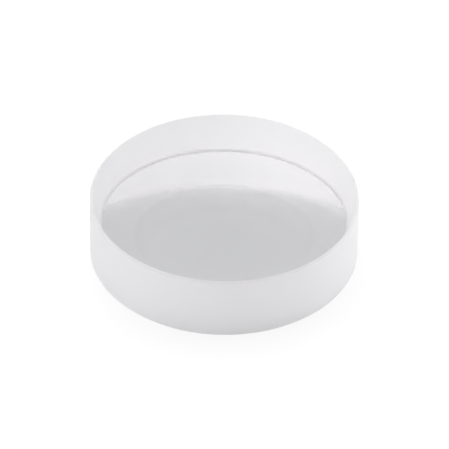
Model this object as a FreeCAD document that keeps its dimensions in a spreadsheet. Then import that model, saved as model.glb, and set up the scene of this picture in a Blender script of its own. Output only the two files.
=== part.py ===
import FreeCAD, Part
import enum
import math
import os

import Sketcher

# Biconcave lens: one disc of optical glass with a hollow spherical face on each side.
# Its cylindrical edge is fine ground, and a narrow bevel at 45 degrees breaks each rim.
# The optical axis is Z. The origin is on that axis, midway between the two face vertices.

# Driving dimensions in millimetres: alias, value and what the size is
DIMENSIONS = [
    ("edge_diameter", 25.4, "diameter of the ground edge"),
    ("front_radius", 40.0, "radius of curvature of the hollow face that looks up"),
    ("back_radius", 40.0, "radius of curvature of the hollow face that looks down"),
    ("centre_thickness", 2.5, "glass left between the two face vertices"),
    ("bevel_leg", 0.2, "leg of the bevel on each rim, along and across the axis"),
]
SHEET = "Dimensions"

FULL_TURN = 360.0
VOLUME_TOLERANCE = 1e-6


class Axis(enum.IntEnum):
    """The two lines that every sketch has of its own."""

    HORIZONTAL = -1
    VERTICAL = -2


class Point(enum.IntEnum):
    """The points of a curve that a constraint can hold."""

    START = 1
    END = 2
    CENTRE = 3


ORIGIN = (Axis.HORIZONTAL, Point.START)


def make_sheet(doc):
    """The spreadsheet that every size of the lens is bound to."""
    sheet = doc.addObject("Spreadsheet::Sheet", SHEET)
    for row, (alias, value, meaning) in enumerate(DIMENSIONS, start=1):
        sheet.set(f"A{row}", meaning)
        sheet.set(f"B{row}", str(value))
        sheet.setAlias(f"B{row}", alias)
    doc.recompute()
    return sheet


def origin_feature(body, role):
    """One of the body's own origin planes or axes, by its role."""
    return next(feature for feature in body.Origin.OriginFeatures if feature.Role == role)


def sagitta(radius, aperture):
    """How deep a sphere of this radius lies below a rim of this aperture radius."""
    return radius - math.sqrt(radius ** 2 - aperture ** 2)


def face_arc(radius, vertex, side, aperture):
    """One hollow face in section, from its vertex on the axis out to its rim, or back."""
    centre = FreeCAD.Vector(0, vertex + side * radius, 0)
    circle = Part.Circle(centre, FreeCAD.Vector(0, 0, 1), radius)
    swing = math.asin(aperture / radius)
    towards_vertex = -side * math.pi / 2
    sweep = sorted((towards_vertex, towards_vertex + side * swing))
    return Part.ArcOfCircle(circle, *sweep)


def dimension(sketch, kind, places, expression):
    """A driving constraint of the sketch, bound to the spreadsheet."""
    value = float(sketch.evalExpression(expression))
    index = sketch.addConstraint(Sketcher.Constraint(kind, *places, value))
    sketch.setExpression(f"Constraints[{index}]", expression)


def lens_profile(body, sheet):
    """Half of the lens in section: the axis, both faces, both bevels and the edge."""
    sketch = body.newObject("Sketcher::SketchObject", "lens_profile")
    sketch.AttachmentSupport = [(origin_feature(body, "XZ_Plane"), "")]
    sketch.MapMode = "FlatFace"

    edge = sheet.edge_diameter / 2
    aperture = edge - sheet.bevel_leg
    vertex = sheet.centre_thickness / 2
    front_rim = vertex + sagitta(sheet.front_radius, aperture)
    back_rim = -vertex - sagitta(sheet.back_radius, aperture)
    corners = [
        (aperture, front_rim),
        (edge, front_rim - sheet.bevel_leg),
        (edge, back_rim + sheet.bevel_leg),
        (aperture, back_rim),
    ]
    points = [FreeCAD.Vector(x, z, 0) for x, z in corners]

    front_face = sketch.addGeometry(face_arc(sheet.front_radius, vertex, 1, aperture))
    front_bevel = sketch.addGeometry(Part.LineSegment(points[0], points[1]))
    ground_edge = sketch.addGeometry(Part.LineSegment(points[1], points[2]))
    back_bevel = sketch.addGeometry(Part.LineSegment(points[2], points[3]))
    back_face = sketch.addGeometry(face_arc(sheet.back_radius, -vertex, -1, aperture))
    ends = FreeCAD.Vector(0, -vertex, 0), FreeCAD.Vector(0, vertex, 0)
    axis = sketch.addGeometry(Part.LineSegment(*ends))

    outline = [front_face, front_bevel, ground_edge, back_bevel, back_face, axis]
    for curve, following in zip(outline, outline[1:] + outline[:1]):
        sketch.addConstraint(Sketcher.Constraint("Coincident", curve, Point.END, following, Point.START))
    sketch.addConstraint(Sketcher.Constraint("Vertical", axis))
    sketch.addConstraint(Sketcher.Constraint("Vertical", ground_edge))
    sketch.addConstraint(Sketcher.Constraint("Symmetric", axis, Point.START, axis, Point.END, *ORIGIN))
    for face in (front_face, back_face):
        sketch.addConstraint(Sketcher.Constraint("PointOnObject", face, Point.CENTRE, Axis.VERTICAL))

    dimension(sketch, "DistanceY", (axis, Point.START, axis, Point.END), f"{SHEET}.centre_thickness")
    dimension(sketch, "Radius", (front_face,), f"{SHEET}.front_radius")
    dimension(sketch, "Radius", (back_face,), f"{SHEET}.back_radius")
    dimension(sketch, "DistanceX", (*ORIGIN, ground_edge, Point.START), f"{SHEET}.edge_diameter / 2")
    bevels = [
        ("DistanceX", (front_bevel, Point.START, front_bevel, Point.END)),
        ("DistanceY", (front_bevel, Point.END, front_bevel, Point.START)),
        ("DistanceX", (back_bevel, Point.END, back_bevel, Point.START)),
        ("DistanceY", (back_bevel, Point.END, back_bevel, Point.START)),
    ]
    for kind, places in bevels:
        dimension(sketch, kind, places, f"{SHEET}.bevel_leg")
    return sketch


def make_lens(doc, sheet):
    """The lens, turned from its section about the optical axis."""
    body = doc.addObject("PartDesign::Body", "lens")
    body.Label = "lens"
    profile = lens_profile(body, sheet)
    turned = body.newObject("PartDesign::Revolution", "turned_lens")
    turned.Profile = profile
    turned.ReferenceAxis = (profile, ["V_Axis"])
    turned.Angle = FULL_TURN
    doc.recompute()
    return body


def cap_volume(radius, aperture):
    """Volume that a hollow face takes out, from its rim plane down to its vertex."""
    depth = sagitta(radius, aperture)
    return math.pi * depth ** 2 * (3 * radius - depth) / 3


def expected_volume(sheet):
    """Volume of the lens by formula: its blank less two hollows and two bevels."""
    edge = sheet.edge_diameter / 2
    leg = sheet.bevel_leg
    aperture = edge - leg
    depths = sagitta(sheet.front_radius, aperture) + sagitta(sheet.back_radius, aperture)
    blank = math.pi * edge ** 2 * (sheet.centre_thickness + depths)
    hollows = cap_volume(sheet.front_radius, aperture) + cap_volume(sheet.back_radius, aperture)
    bevel = math.pi * leg ** 2 * (edge - leg / 3)
    return blank - hollows - 2 * bevel


def check(doc, body, sheet):
    """Stop before anything is written if a step failed or the lens isn't a sound solid."""
    for item in doc.Objects:
        if {"Invalid", "Error"} & set(item.State):
            raise RuntimeError(f"{item.Name} did not build: {item.State}")
    if not doc.getObject("lens_profile").FullyConstrained:
        raise RuntimeError("the section of the lens isn't fully dimensioned")
    shape = body.Shape
    if shape.isNull() or not shape.isValid() or len(shape.Solids) != 1:
        raise RuntimeError(f"{body.Label} is not one valid solid")
    expected = expected_volume(sheet)
    if abs(shape.Volume - expected) > VOLUME_TOLERANCE * expected:
        raise RuntimeError(f"{body.Label} holds {shape.Volume} mm3, not {expected} mm3")


def main():
    doc = FreeCAD.newDocument("biconcave_lens")
    sheet = make_sheet(doc)
    lens = make_lens(doc, sheet)
    check(doc, lens, sheet)
    os.makedirs("parts", exist_ok=True)
    lens.Shape.exportStep(f"parts/{lens.Label}.step")
    box = lens.Shape.BoundBox
    print(f"{lens.Label}: {lens.Shape.Volume:.2f} mm3, {box.XLength:.3f} x {box.YLength:.3f}"
          f" x {box.ZLength:.3f} mm")


main()
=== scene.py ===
import math

import bmesh
import bpy
from mathutils import Matrix, Vector


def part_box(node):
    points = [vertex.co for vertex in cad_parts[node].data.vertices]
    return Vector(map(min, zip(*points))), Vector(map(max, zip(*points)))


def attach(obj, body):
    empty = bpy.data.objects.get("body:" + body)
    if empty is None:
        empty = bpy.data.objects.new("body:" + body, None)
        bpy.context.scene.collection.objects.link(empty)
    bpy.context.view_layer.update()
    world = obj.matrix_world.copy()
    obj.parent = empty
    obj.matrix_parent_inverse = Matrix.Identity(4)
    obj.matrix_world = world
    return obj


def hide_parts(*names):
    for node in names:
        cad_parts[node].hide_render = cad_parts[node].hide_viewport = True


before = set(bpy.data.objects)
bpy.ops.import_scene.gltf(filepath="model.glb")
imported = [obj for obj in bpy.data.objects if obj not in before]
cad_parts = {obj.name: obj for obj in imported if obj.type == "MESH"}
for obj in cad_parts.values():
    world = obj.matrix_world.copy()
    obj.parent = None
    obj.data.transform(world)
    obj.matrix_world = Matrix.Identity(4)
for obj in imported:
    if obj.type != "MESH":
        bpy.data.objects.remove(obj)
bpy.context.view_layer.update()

# The lens in metres: its outside comes from the frame, its hollow faces and bevels from here.
# It lies on its back rim
FRONT_RADIUS = 0.040
BACK_RADIUS = 0.040
BEVEL_LEG = 0.0002
low_corner, high_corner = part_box("lens")
EDGE_RADIUS = high_corner.x
RIM_HEIGHT = high_corner.z
TABLE_HEIGHT = low_corner.z

# How finely the lens is turned: steps round the axis, and rings across a face and down the edge
ROUND_STEPS = 256
FACE_RINGS = 56
EDGE_RINGS = 12
BEVEL_RINGS = 2

# The camera stands well back with a long lens and looks at the middle of the glass
CAMERA_DISTANCE = 0.508
CAMERA_ELEVATION = math.radians(39.22)
CAMERA_ROLL = math.radians(0.81)
FOCAL_LENGTH = 430.1
SENSOR_WIDTH = 36.0
AIM_RIGHT = 0.000037
AIM_DOWN = 0.000138
CLIP_FACTOR = 10

# The polish leaves a trace of softness, in broad clouds. The ground wall and bevels are white, with
# the fine grain of the grit and marks that run round the edge. Each pattern is so many to the metre
GLASS_INDEX = 1.458
POLISH_ROUGHNESS = (0.10, 0.12)
GROUND_ROUGHNESS = (0.62, 0.78)
GROUND_DARK = (0.965, 0.95, 0.96, 1.0)
GROUND_LIGHT = (0.985, 0.97, 0.98, 1.0)
GROUND_PASSED = (0.975, 0.96, 0.97, 1.0)
CLOUDS = (120, 120, 120)
GRAIN = (4000, 4000, 4000)
TURNING_MARKS = (500, 500, 9000)
NOISE_DETAIL = 2.0
RELIEF_STRENGTH = 0.2
RELIEF_DEPTH = 0.00001

# Share of the light that passes a ground surface: met from outside, and met from within the glass
WALL_THROUGH = (0.15, 0.6)
BEVEL_THROUGH = (0.4, 0.4)

# Soft lights of the tent: azimuth from the right hand, elevation in degrees, how narrow, how strong
EVEN_LIGHT = 0.05
SOFT_LIGHTS = {
    "right": (19, 3, 8.0, 4.0),
    "front": (277, 3, 8.0, 2.2),
    "left": (185, 3, 8.0, 2.72),
    "overhead": (101, 65, 8.0, 4.25),
}

# The table: a matt pale grey, under a white that only the camera sees. Part of its own light and
# shade shows through that white
TABLE_SIZE = 3.0
TABLE_GREY = (0.78, 0.787, 0.80, 1.0)
TABLE_ROUGHNESS = 0.4
TABLE_INDEX = 1.49
TABLE_SHADOW = 0.15

# The colour sockets of a Mix node, by number, because its three kinds of socket share their names
MIX_FIRST = 6
MIX_SECOND = 7
MIX_RESULT = 2


class Wire:
    """A node's output. Python expressions on it add Math nodes."""

    def __init__(self, graph, node, output):
        self.graph = graph
        self.node = node
        self.output = output

    @property
    def socket(self):
        return self.node.outputs[self.output]

    def __add__(self, other):
        return self.graph.maths("ADD", self, other)

    def __sub__(self, other):
        return self.graph.maths("SUBTRACT", self, other)

    def __rsub__(self, other):
        return self.graph.maths("SUBTRACT", other, self)

    def __mul__(self, other):
        return self.graph.maths("MULTIPLY", self, other)

    def __pow__(self, other):
        return self.graph.maths("POWER", self, other)

    def __rpow__(self, other):
        return self.graph.maths("POWER", other, self)

    __radd__ = __add__
    __rmul__ = __mul__


class Graph:
    """The node tree of a material or of the world."""

    def __init__(self, tree):
        self.tree = tree
        tree.nodes.clear()

    def node(self, kind, settings, sockets, output=0):
        """One node: its settings first, then the values and links of its sockets."""
        made = self.tree.nodes.new(kind)
        for name, value in settings.items():
            setattr(made, name, value)
        for name, value in sockets.items():
            if isinstance(value, Wire):
                self.tree.links.new(value.socket, made.inputs[name])
            else:
                made.inputs[name].default_value = value
        return Wire(self, made, output)

    def maths(self, operation, first, second):
        """A Math node on two values."""
        return self.node("ShaderNodeMath", {"operation": operation}, {0: first, 1: second})

    def mix(self, share, first, second):
        """A mix of two colours."""
        ends = {"Factor": share, MIX_FIRST: first, MIX_SECOND: second}
        return self.node("ShaderNodeMix", {"data_type": "RGBA"}, ends, output=MIX_RESULT)

    def blend(self, share, first, second):
        """A mix of two shaders."""
        return self.node("ShaderNodeMixShader", {}, {0: share, 1: first, 2: second})

    def lobe(self, towards, azimuth, elevation):
        """How nearly a direction points at one place of the sky, from 0 to 1."""
        azimuth, elevation = math.radians(azimuth), math.radians(elevation)
        level = math.cos(elevation)
        aim = (level * math.cos(azimuth), level * math.sin(azimuth), math.sin(elevation))
        product = {"operation": "DOT_PRODUCT"}
        near = self.node("ShaderNodeVectorMath", product, {0: towards, 1: aim}, output="Value")
        return self.maths("MAXIMUM", near, 0.0)

    def ray(self, kind):
        """1 for rays of one kind, and 0 for the rest."""
        return self.node("ShaderNodeLightPath", {}, {}, output=f"Is {kind} Ray")

    def sight(self):
        """1 for rays that show the background: the camera's, and those mirrored or bent clearly."""
        bent = self.ray("Transmission") * (1 - self.ray("Diffuse"))
        return self.ray("Camera") + self.ray("Glossy") + bent

    def noise(self, per_metre):
        """Uneven marks, from 0 to 1, so many to the metre along each axis."""
        place = self.node("ShaderNodeTexCoord", {}, {}, output="Object")
        product = {"operation": "MULTIPLY"}
        drawn = self.node("ShaderNodeVectorMath", product, {0: place, 1: per_metre})
        shape = {"Vector": drawn, "Scale": 1.0, "Detail": NOISE_DETAIL}
        return self.node("ShaderNodeTexNoise", {}, shape)


def grey(value):
    """A brightness as an opaque colour."""
    return (value, value, value, 1.0)


def new_material(name):
    """An empty material and its graph."""
    material = bpy.data.materials.new(name)
    material.use_nodes = True
    return material, Graph(material.node_tree)


def between(share, ends):
    """A value between two ends."""
    low, high = ends
    return share * (high - low) + low


def polished_glass():
    """The clear glass of the two hollow faces."""
    material, graph = new_material("polished_glass")
    glass = graph.node("ShaderNodeBsdfPrincipled", {}, {
        "Base Color": grey(1.0),
        "Roughness": between(graph.noise(CLOUDS), POLISH_ROUGHNESS),
        "IOR": GLASS_INDEX,
        "Transmission Weight": 1.0,
    })
    graph.node("ShaderNodeOutputMaterial", {}, {"Surface": glass})
    return material


def ground_glass(name, through):
    """Fine-ground glass, frosted white, that lets part of the light through."""
    material, graph = new_material(name)
    grain = graph.noise(GRAIN)
    marks = graph.noise(TURNING_MARKS)
    tint = graph.mix(grain, GROUND_DARK, GROUND_LIGHT)
    relief = graph.node("ShaderNodeBump", {}, {
        "Strength": RELIEF_STRENGTH,
        "Distance": RELIEF_DEPTH,
        "Height": grain + marks,
    })
    white = graph.node("ShaderNodeBsdfPrincipled", {}, {
        "Base Color": tint,
        "Roughness": between(marks, GROUND_ROUGHNESS),
        "IOR": GLASS_INDEX,
        "Normal": relief,
    })
    passed = graph.node("ShaderNodeBsdfTranslucent", {}, {
        "Color": GROUND_PASSED,
        "Normal": relief,
    })
    within = graph.node("ShaderNodeNewGeometry", {}, {}, output="Backfacing")
    frosted = graph.blend(between(within, through), white, passed)
    graph.node("ShaderNodeOutputMaterial", {}, {"Surface": frosted})
    return material


def sagitta(curvature, radius):
    """How far a hollow face of this curvature rises above its vertex, out at this radius."""
    return curvature - math.sqrt(curvature ** 2 - radius ** 2)


def hollow_face(curvature, aperture):
    """Points of a hollow face from its vertex to its rim, as if it looked up."""
    vertex = RIM_HEIGHT - sagitta(curvature, aperture)
    steps = [aperture * step / FACE_RINGS for step in range(FACE_RINGS + 1)]
    return [(radius, vertex + sagitta(curvature, radius)) for radius in steps]


def section():
    """Half of the section, from the front vertex to the back one: each part's points and finish."""
    aperture = EDGE_RADIUS - BEVEL_LEG
    wall_top = RIM_HEIGHT - BEVEL_LEG
    front = hollow_face(FRONT_RADIUS, aperture)
    back = hollow_face(BACK_RADIUS, aperture)
    bevel_steps = [BEVEL_LEG * step / BEVEL_RINGS for step in range(BEVEL_RINGS + 1)]
    bevel = [(aperture + step, RIM_HEIGHT - step) for step in bevel_steps]
    edge_steps = [1 - 2 * step / EDGE_RINGS for step in range(EDGE_RINGS + 1)]
    edge = [(EDGE_RADIUS, wall_top * step) for step in edge_steps]
    back_bevel, back_face = [[(radius, -height) for radius, height in reversed(part)]
                             for part in (bevel, back)]
    return [
        (front, "polished"),
        (bevel, "bevel"),
        (edge, "ground"),
        (back_bevel, "bevel"),
        (back_face, "polished"),
    ]


def turned_mesh(name, stretches, finishes):
    """A mesh turned about the Z axis, with sharp edges where two stretches meet."""
    build = bmesh.new()
    angles = [2 * math.pi * step / ROUND_STEPS for step in range(ROUND_STEPS)]

    def ring(radius, height):
        if radius == 0:
            return [build.verts.new((0, 0, height))] * ROUND_STEPS
        return [build.verts.new((radius * math.cos(angle), radius * math.sin(angle), height))
                for angle in angles]

    last = None
    for points, finish in stretches:
        if last:
            points = points[1:]
        for point in points:
            here = ring(*point)
            if last:
                band(build, last, here, finishes.index(finish))
            last = here
        if points[-1][0] > 0:
            for step in range(ROUND_STEPS):
                build.edges.get((last[step], last[step - 1])).smooth = False
    bmesh.ops.recalc_face_normals(build, faces=build.faces)
    mesh = bpy.data.meshes.new(name)
    build.to_mesh(mesh)
    build.free()
    return mesh


def band(build, above, below, finish):
    """The faces between two rings. A ring on the axis is one point, and its faces are triangles."""
    for step in range(ROUND_STEPS):
        after = (step + 1) % ROUND_STEPS
        corners = [above[step], below[step], below[after], above[after]]
        face = build.faces.new(list(dict.fromkeys(corners)))
        face.material_index = finish
        face.smooth = True


def turned_lens():
    """The lens, turned from its section."""
    finishes = {
        "polished": polished_glass(),
        "ground": ground_glass("ground_glass", WALL_THROUGH),
        "bevel": ground_glass("ground_bevel", BEVEL_THROUGH),
    }
    mesh = turned_mesh("biconcave_lens", section(), list(finishes))
    for material in finishes.values():
        mesh.materials.append(material)
    piece = bpy.data.objects.new("biconcave_lens", mesh)
    bpy.context.scene.collection.objects.link(piece)
    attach(piece, "root")
    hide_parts("lens")


def table():
    """A pale table. The camera sees it white with a faint shadow, and the glass shows its grey.
    From below it is open, so that the back of the lens can be looked at."""
    material, graph = new_material("pale_table")
    matt = graph.node("ShaderNodeBsdfPrincipled", {}, {
        "Base Color": TABLE_GREY,
        "Roughness": TABLE_ROUGHNESS,
        "IOR": TABLE_INDEX,
    })
    lit = graph.node("ShaderNodeBsdfDiffuse", {}, {"Color": grey(1.0)})
    white = graph.node("ShaderNodeEmission", {}, {"Color": grey(1.0), "Strength": 1.0})
    shown = graph.blend(1 - TABLE_SHADOW, lit, white)
    above = graph.blend(graph.ray("Camera"), matt, shown)
    clear = graph.node("ShaderNodeBsdfTransparent", {}, {})
    from_below = graph.node("ShaderNodeNewGeometry", {}, {}, output="Backfacing")
    open_below = graph.blend(from_below, above, clear)
    graph.node("ShaderNodeOutputMaterial", {}, {"Surface": open_below})
    mesh = bpy.data.meshes.new("table_top")
    half = TABLE_SIZE / 2
    corners = [(-half, -half), (half, -half), (half, half), (-half, half)]
    mesh.from_pydata([(x, y, TABLE_HEIGHT) for x, y in corners], [], [(0, 1, 2, 3)])
    mesh.materials.append(material)
    floor = bpy.data.objects.new("table_top", mesh)
    bpy.context.scene.collection.objects.link(floor)


def light_tent():
    """Soft light from all sides. The camera sees it plain white, and so it shows in the glass."""
    world = bpy.data.worlds.new("light_tent")
    world.use_nodes = True
    bpy.context.scene.world = world
    graph = Graph(world.node_tree)
    towards = graph.node("ShaderNodeTexCoord", {}, {}, output="Generated")
    glow = EVEN_LIGHT
    for azimuth, elevation, narrow, strong in SOFT_LIGHTS.values():
        glow = glow + graph.lobe(towards, azimuth, elevation) ** narrow * strong
    soft = graph.node("ShaderNodeBackground", {}, {"Color": glow, "Strength": 1.0})
    white = graph.node("ShaderNodeBackground", {}, {"Color": grey(1.0), "Strength": 1.0})
    tent = graph.blend(graph.sight(), soft, white)
    graph.node("ShaderNodeOutputWorld", {}, {"Surface": tent})


def camera():
    """The photo's view, a little rolled, from the front and above."""
    data = bpy.data.cameras.new("camera")
    data.sensor_width = SENSOR_WIDTH
    data.lens = FOCAL_LENGTH
    data.clip_start = CAMERA_DISTANCE / CLIP_FACTOR
    data.clip_end = CAMERA_DISTANCE * CLIP_FACTOR
    eye = bpy.data.objects.new("camera", data)
    bpy.context.scene.collection.objects.link(eye)
    back = Vector((0, -math.cos(CAMERA_ELEVATION), math.sin(CAMERA_ELEVATION)))
    level = Vector((1, 0, 0))
    upright = back.cross(level)
    right = level * math.cos(CAMERA_ROLL) + upright * math.sin(CAMERA_ROLL)
    up = back.cross(right)
    aim = right * AIM_RIGHT - up * AIM_DOWN
    turn = Matrix((right, up, back)).transposed().to_4x4()
    eye.matrix_world = Matrix.Translation(aim + back * CAMERA_DISTANCE) @ turn
    bpy.context.scene.camera = eye


turned_lens()
table()
light_tent()
camera()
bpy.context.scene.view_settings.view_transform = "Standard"
